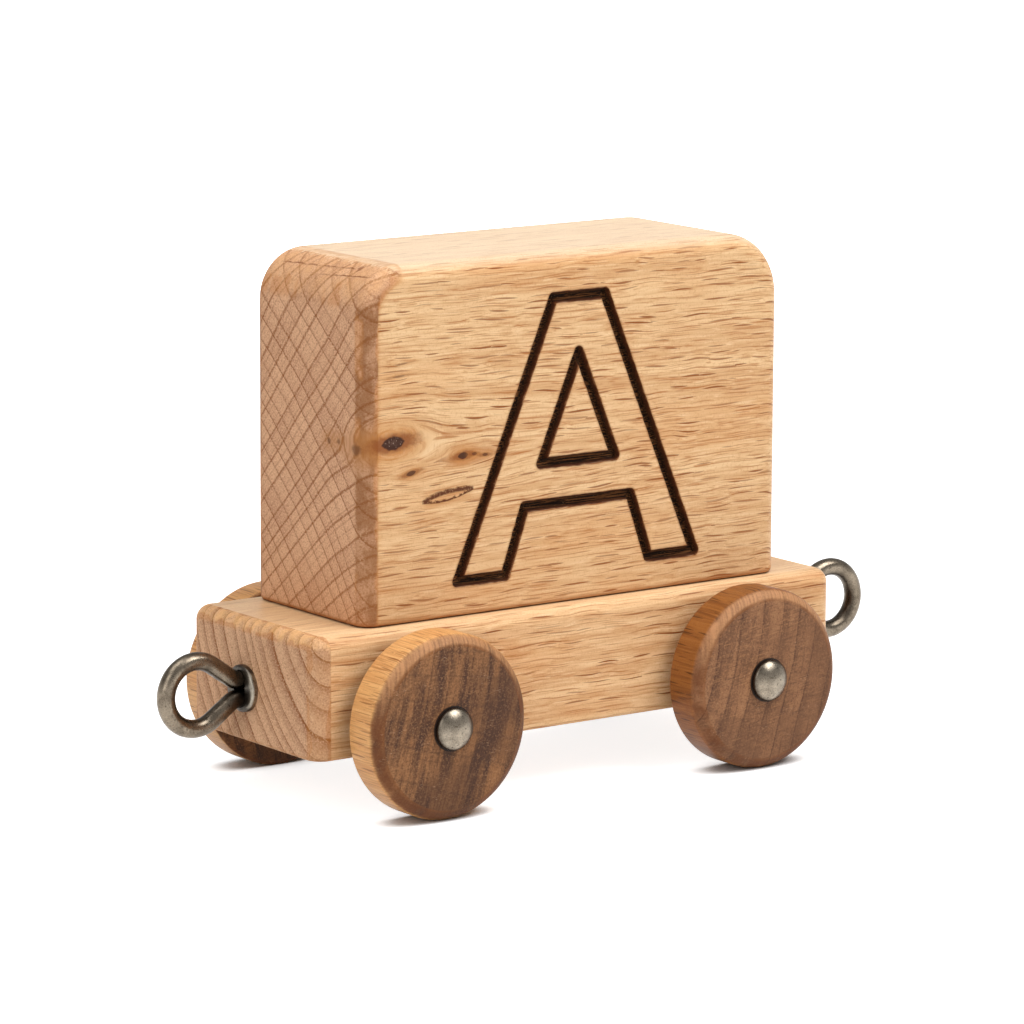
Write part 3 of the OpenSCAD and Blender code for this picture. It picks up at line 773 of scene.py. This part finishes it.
def make_block(material):
    """The CAD's letter block with a new front face, in which the letter is a round-bottomed groove."""
    bm = bmesh.new()
    bm.from_mesh(nodes["letter_block"].data)
    layer = bm.verts.layers.float.new("from_line")
    bmesh.ops.remove_doubles(bm, verts=bm.verts, dist=1e-7)
    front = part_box("letter_block")[0].y

    # The front face and the CAD's groove go
    doomed = []
    for face in bm.faces:
        middle = face.calc_center_median()
        inside = abs(middle.x / MM - LETTER_AT[0]) < LETTER_HALF and LETTER_LOW < middle.z / MM < LETTER_HIGH
        if middle.y < front + (GROOVE_DEPTH + 0.05) * MM and (inside or face.normal.y < -0.9999):
            doomed.append(face)
    bmesh.ops.delete(bm, geom=doomed, context="FACES")
    rim = [v for v in bm.verts if any(len(e.link_faces) == 1 for e in v.link_edges)]
    rim.sort(key=lambda v: math.atan2(v.co.z / MM - FACE_Z, v.co.x / MM))

    # The new face joins the old rim to rows of points along the letter's lines
    spots = [(v.co.x / MM, v.co.z / MM) for v in rim]
    gaps = [FAR] * len(rim)
    joins = [(i, (i + 1) % len(rim)) for i in range(len(rim))]

    def add_loop(loop, gap):
        start = len(spots)
        spots.extend(loop)
        gaps.extend([gap] * len(loop))
        joins.extend((start + i, start + (i + 1) % len(loop)) for i in range(len(loop)))

    add_loop([(x * INSET, FACE_Z + (z - FACE_Z) * INSET) for x, z in spots], FAR)
    for line in (OUTLINE, COUNTER):
        line = [(x + LETTER_AT[0], z + LETTER_AT[1]) for x, z in line]
        add_loop(offset_loop(line, 0.0), 0.0)
        for gap in GROOVE_STEPS:
            for side in (-1, 1):
                add_loop(offset_loop(line, side * gap), gap)
    flat, _, faces, origins, _, _ = geometry.delaunay_2d_cdt([Vector(s) for s in spots], joins, [], 0, 1e-5)
    for v in bm.verts:
        v[layer] = FAR * MM
    made = []
    for point, origin in zip(flat, origins):
        first = origin[0] if origin else None
        if first is not None and first < len(rim):
            made.append(rim[first])
            continue
        gap = gaps[first] if first is not None else min(
            segment_gap(point.x - LETTER_AT[0], point.y - LETTER_AT[1], line[i], line[(i + 1) % len(line)])
            for line in (OUTLINE, COUNTER) for i in range(len(line)))
        depth = groove_depth(gap, point.x, point.y) if gap < GROOVE_END else 0.0
        v = bm.verts.new((point.x * MM, front + depth * MM, point.y * MM))
        v[layer] = gap * MM
        made.append(v)
    for corners in faces:
        if len(set(corners)) > 2:
            bm.faces.new([made[i] for i in corners])
    bmesh.ops.recalc_face_normals(bm, faces=bm.faces)
    obj = new_object("letter_block_body", bm, material)
    weigh = obj.modifiers.new("weigh", "WEIGHTED_NORMAL")
    weigh.keep_sharp = False
    weigh.weight = 90
    return obj


def make_wheel(name, centre, out, material):
    """A turned wheel with a softened chamfer, bored for its nail."""
    nick = 0.12
    profile = [[BORE_R, 0.0], [WHEEL_R - BACK_R - 3, 0.0]]
    profile += rounded(WHEEL_R - BACK_R, BACK_R, BACK_R, -90, 0, 6)
    profile += rounded(WHEEL_R - CHAMFER, WHEEL_W - CHAMFER, CHAMFER, 0, 90, 12, flat=1.25)
    profile += [[r, WHEEL_W] for r in (WHEEL_R - CHAMFER - 0.3, WHEEL_R - CHAMFER - 2, BORE_R + 0.5)]
    profile += [[BORE_R + nick, WHEEL_W], [BORE_R, WHEEL_W - nick]]
    return lathe(name, profile, centre, out, material, wobble=0.02)


def make_nail(name, seat, out, material):
    """A nail with a domed head, whose underside is at seat, and its shank inwards."""
    dome = HEAD_H - HEAD_EDGE
    ball = (HEAD_R * HEAD_R + dome ** 2) / (2 * dome)
    fillet, lip, steps = 0.15, 0.12, 14
    profile = [[0, -NAIL_L], [TIP_R, -NAIL_L], [SHANK_R, POINT_L - NAIL_L], [SHANK_R, -fillet],
               [SHANK_R + fillet, 0.0], [HEAD_R - fillet, 0.0]]
    profile += rounded(HEAD_R - lip, lip, lip, -90, 0, 4)
    last = math.asin((HEAD_R - 0.05) / ball)
    for i in range(steps + 1):
        a = last * (1 - i / steps)
        profile.append([ball * math.sin(a) if i < steps else 0, HEAD_H - ball + ball * math.cos(a)])
    return lathe(name, profile, seat, out, material, turns=72)


def eye_path(out):
    """Centre line of an eye that points along +X from the chassis end, as [x, z] in mm."""
    drop = LOOP_R * math.cos(LEG_SLOPE) - BEND_R * (1 - math.cos(LEG_SLOPE)) - LEG_OFFSET
    loop_x = out + (LOOP_R + BEND_R) * math.sin(LEG_SLOPE) + drop / math.tan(LEG_SLOPE)
    half = [(loop_x + LOOP_R * math.cos(a), LOOP_R * math.sin(a))
            for a in np.linspace(0, math.pi / 2 + LEG_SLOPE, 40)]
    bend = [(out - BEND_R * math.sin(a), LEG_OFFSET + BEND_R - BEND_R * math.cos(a))
            for a in np.linspace(-LEG_SLOPE, 0, 12)]
    start, end = half[-1], bend[0]
    run = [(start[0] + (end[0] - start[0]) * t, start[1] + (end[1] - start[1]) * t)
           for t in np.linspace(0, 1, 8)[1:-1]]
    leg = [(out + (-LEG_L - out) * t, LEG_OFFSET) for t in np.linspace(0, 1, 12)[1:]]
    half = half + run + bend + leg
    return [(x, -z) for x, z in half[:0:-1]] + half


def make_eye(name, end, side, out, material):
    """Bent wire swept along its path, a little uneven, as bent by hand in a jig."""
    bm = bmesh.new()
    path = eye_path(out)
    ring_n = 32
    rings = []
    for i, (x, z) in enumerate(path):
        a, b = path[max(0, i - 1)], path[min(len(path) - 1, i + 1)]
        run = Vector((b[0] - a[0], 0, b[1] - a[1])).normalized()
        across = Vector((-run.z, 0, run.x))
        ring = []
        for k in range(ring_n):
            t = 2 * math.pi * k / ring_n
            dent = 0.012 * noise.noise((x * 0.5, math.sin(t), z * 0.5 + math.cos(t)))
            r = WIRE_R * (1 - 0.012 + dent)
            point = Vector((x, 0, z)) + across * (r * math.cos(t)) + Vector((0, 1, 0)) * (r * math.sin(t))
            ring.append(bm.verts.new((side * point.x * MM, side * point.y * MM, point.z * MM)))
        rings.append(ring)
    for one, two in zip(rings, rings[1:]):
        for k in range(ring_n):
            j = (k + 1) % ring_n
            bm.faces.new((one[k], one[j], two[j], two[k]))
    bm.faces.new(rings[0])
    bm.faces.new(rings[-1])
    bmesh.ops.recalc_face_normals(bm, faces=bm.faces)
    obj = new_object(name, bm, material)
    obj.location = Vector(end) * MM
    return obj


def dress(node, material):
    """Gives a CAD node its material and keeps its shape."""
    obj = nodes[node]
    obj.data.materials.clear()
    obj.data.materials.append(material)


# The pieces
block_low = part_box("letter_block")[0] / MM
block = make_block(block_material(block_low.x, block_low.z, block_low.y))
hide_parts("letter_block")
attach(block, "chassis")

dress("chassis", bar_material())
dowel_wood = dowel_material()
for side in ("left", "right"):
    dress(f"dowel_{side}", dowel_wood)

nail_metal = metal_material("old_nickel_nail", rgb(154, 143, 127), rgb(84, 76, 66), 0.25, 0.38, 1.7,
                            at_rim)
washer_metal = metal_material("dull_steel_washer", rgb(150, 148, 142), rgb(100, 96, 90), 0.35, 0.5, 4.2)

TREADS = {
    "front_left": {"tilt": 14, "seed": 21.3, "tread": {}},
    "front_right": {"tilt": 13, "seed": 4.9, "tread": {
        "side_light": rgb(156, 98, 46), "side_dark": rgb(124, 72, 30), "side_warm": rgb(136, 80, 32),
        "side_line": rgb(94, 52, 20), "side_pale": rgb(172, 114, 60), "fleck_dark": rgb(72, 38, 12),
        "end_light": rgb(160, 112, 76), "end_dark": rgb(104, 68, 44), "end_line": rgb(66, 38, 23),
        "smear": 2.6, "smear_share": 0.5, "ring": 3.5, "line": 0.1, "ring_line": 0.85, "late_share": 0.35,
        "ray": 2.6, "ray_line": 0.15, "ray_share": 0.1, "fleck_share": 0.9, "cross": 0.6}},
    "back_left": {"tilt": -20, "seed": 33.1, "tread": {}},
    "back_right": {"tilt": 70, "seed": 47.7, "tread": {}},
}
for joint in frame["joints"]:
    name = joint["child"]
    place = name.replace("wheel_", "")
    low, high = (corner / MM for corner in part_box(name))
    out = -1 if place.startswith("front") else 1
    middle_x, middle_z = (low.x + high.x) / 2, (low.z + high.z) / 2
    inner_y = high.y if out < 0 else low.y
    wheel = make_wheel(f"{name}_body", (middle_x, inner_y, middle_z), out,
                       wheel_material(f"brown_beech_{place}", **TREADS[place]))
    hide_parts(name)
    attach(wheel, name)
    nail_low, nail_high = (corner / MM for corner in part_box(f"axle_nail_{place}"))
    seat = nail_low.y + HEAD_H if out < 0 else nail_high.y - HEAD_H
    nail = make_nail(f"axle_nail_{place}_body", (middle_x, seat, middle_z), out, nail_metal)
    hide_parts(f"axle_nail_{place}")
    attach(nail, "chassis")
    dress(f"washer_{place}", washer_metal)

chassis_low, chassis_high = (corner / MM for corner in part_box("chassis"))
for side, sign in (("left", -1), ("right", 1)):
    low, high = (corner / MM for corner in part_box(f"eye_{side}"))
    end_x = chassis_high.x if sign > 0 else chassis_low.x
    middle_y, middle_z = (low.y + high.y) / 2, (low.z + high.z) / 2
    out = NECK_OUT[side]
    eye_metal = metal_material(f"old_nickel_eye_{side}", rgb(138, 126, 110), rgb(64, 55, 46), 0.24, 0.4, 6.3,
                               at_neck(LOOP_OUT + out))
    collar_metal = metal_material(f"old_nickel_collar_{side}", rgb(158, 150, 136), rgb(76, 67, 58), 0.3, 0.5,
                                  9.4, at_collar(middle_y, middle_z))
    eye = make_eye(f"eye_{side}_wire", (end_x, middle_y, middle_z), sign, out, eye_metal)
    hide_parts(f"eye_{side}")
    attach(eye, "chassis")
    dress(f"eye_collar_{side}", collar_metal)


# Floor, light and camera
def studio_material(name, albedo, glow, contact):
    """A pale surface that the camera and metal see as white, and that keeps the shadow under the wagon; with
    contact, a painted contact shadow dims its glow where ambient occlusion finds the wagon close.
    """
    g = Graph(name)
    diffuse = g.add("ShaderNodeBsdfDiffuse")
    diffuse.inputs["Color"].default_value = (albedo, albedo, albedo, 1)
    light = g.add("ShaderNodeEmission")
    path = g.add("ShaderNodeLightPath")
    rays = [Wire(g, path.outputs[f"Is {kind} Ray"]) for kind in ("Camera", "Glossy", "Transmission")]
    seen = g.most(rays[0], g.most(rays[1], rays[2]))
    strength = seen * glow
    if contact:
        # Painted contact shadow: the glow fades where ambient occlusion finds the wheels close
        near = g.add("ShaderNodeAmbientOcclusion", samples=8)
        near.inputs["Distance"].default_value = 0.007
        (x, y, _), _ = g.place()
        far = g.step(g.distance(x, y), 150, 600)
        strength = strength * (g.step(Wire(g, near.outputs["AO"]), 0.34, 0.68) + far)
    g.put(light.inputs["Strength"], strength)
    both = g.add("ShaderNodeAddShader")
    g.tree.links.new(diffuse.outputs[0], both.inputs[0])
    g.tree.links.new(light.outputs[0], both.inputs[1])
    out = g.add("ShaderNodeOutputMaterial")
    g.tree.links.new(both.outputs[0], out.inputs[0])
    return g.material


# The floor's half width, the round wall's radius and height, and the gap under the wheels, in metres
FLOOR_HALF, WALL_R, WALL_H, WALL_SIDES, GAP_BELOW = 6.0, 4, 1.2, 48, 0.00002

bm = bmesh.new()
bmesh.ops.create_grid(bm, x_segments=1, y_segments=1, size=FLOOR_HALF)
floor = new_object("floor", bm, studio_material("pale_floor", 0.7, 0.84, True), smooth=False)
floor.location.z = -GAP_BELOW
floor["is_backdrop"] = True

bm = bmesh.new()
angles = [2 * math.pi * i / WALL_SIDES for i in range(WALL_SIDES)]
foot, rim = ([bm.verts.new((WALL_R * math.cos(a), WALL_R * math.sin(a), h)) for a in angles]
             for h in (0, WALL_H))
for i in range(WALL_SIDES):
    bm.faces.new((foot[i], foot[i - 1], rim[i - 1], rim[i]))
wall = new_object("backdrop", bm, studio_material("pale_backdrop", 0.7, 0.85, False))
wall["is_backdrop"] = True

world = bpy.data.worlds.new("studio")
bpy.context.scene.world = world
world.use_nodes = True
sky = world.node_tree.nodes["Background"]
sky.inputs["Color"].default_value = (1, 1, 1, 1)
sky.inputs["Strength"].default_value = 0.36

# The lamps' width and the point that they look at, in metres
LAMP_SIDE, LIT = 0.5, Vector((0, 0, 0.03))


def softbox(name, place, power):
    """A square lamp at a place in metres, with its power in watts."""
    light = bpy.data.lights.new(name, "AREA")
    light.shape = "RECTANGLE"
    light.size, light.size_y = LAMP_SIDE, LAMP_SIDE
    light.energy = power
    obj = bpy.data.objects.new(name, light)
    bpy.context.scene.collection.objects.link(obj)
    obj.location = place
    obj.rotation_euler = (LIT - Vector(place)).to_track_quat("-Z", "Y").to_euler()


softbox("key", (0.26, -0.36, 0.69), 5.0)
softbox("overhead", (-0.26, 0.0, 0.76), 2.05)
softbox("fill", (-0.7, -0.3, 0.4), 1.75)

# The camera, as fitted to the photo: focal length in its pixels, what it looks at, how far it stands
# off, and its turn round the wagon, its height above it and its roll in degrees
PHOTO_PX, SENSOR_MM, FOCAL_PX = 1024, 36.0, 5296.38
AIM, STAND_OFF = Vector((-0.00235, 0, 0.03514)), 0.72497
AZIMUTH, ELEVATION, ROLL = (math.radians(a) for a in (-36.12, 10.41, 0.28))

camera_data = bpy.data.cameras.new("camera")
camera_data.sensor_width = SENSOR_MM
camera_data.lens = FOCAL_PX / PHOTO_PX * SENSOR_MM
camera = bpy.data.objects.new("camera", camera_data)
bpy.context.scene.collection.objects.link(camera)
back = Vector((math.sin(AZIMUTH) * math.cos(ELEVATION), -math.cos(AZIMUTH) * math.cos(ELEVATION),
               math.sin(ELEVATION)))
level = Vector((math.cos(AZIMUTH), math.sin(AZIMUTH), 0))
above = back.cross(level)
right = level * math.cos(ROLL) + above * math.sin(ROLL)
up = above * math.cos(ROLL) - level * math.sin(ROLL)
spot = AIM + back * STAND_OFF
camera.matrix_world = Matrix((
    (right.x, up.x, back.x, spot.x), (right.y, up.y, back.y, spot.y),
    (right.z, up.z, back.z, spot.z), (0, 0, 0, 1)))
bpy.context.scene.camera = camera
bpy.context.scene.view_settings.view_transform = "Standard"

low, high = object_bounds()
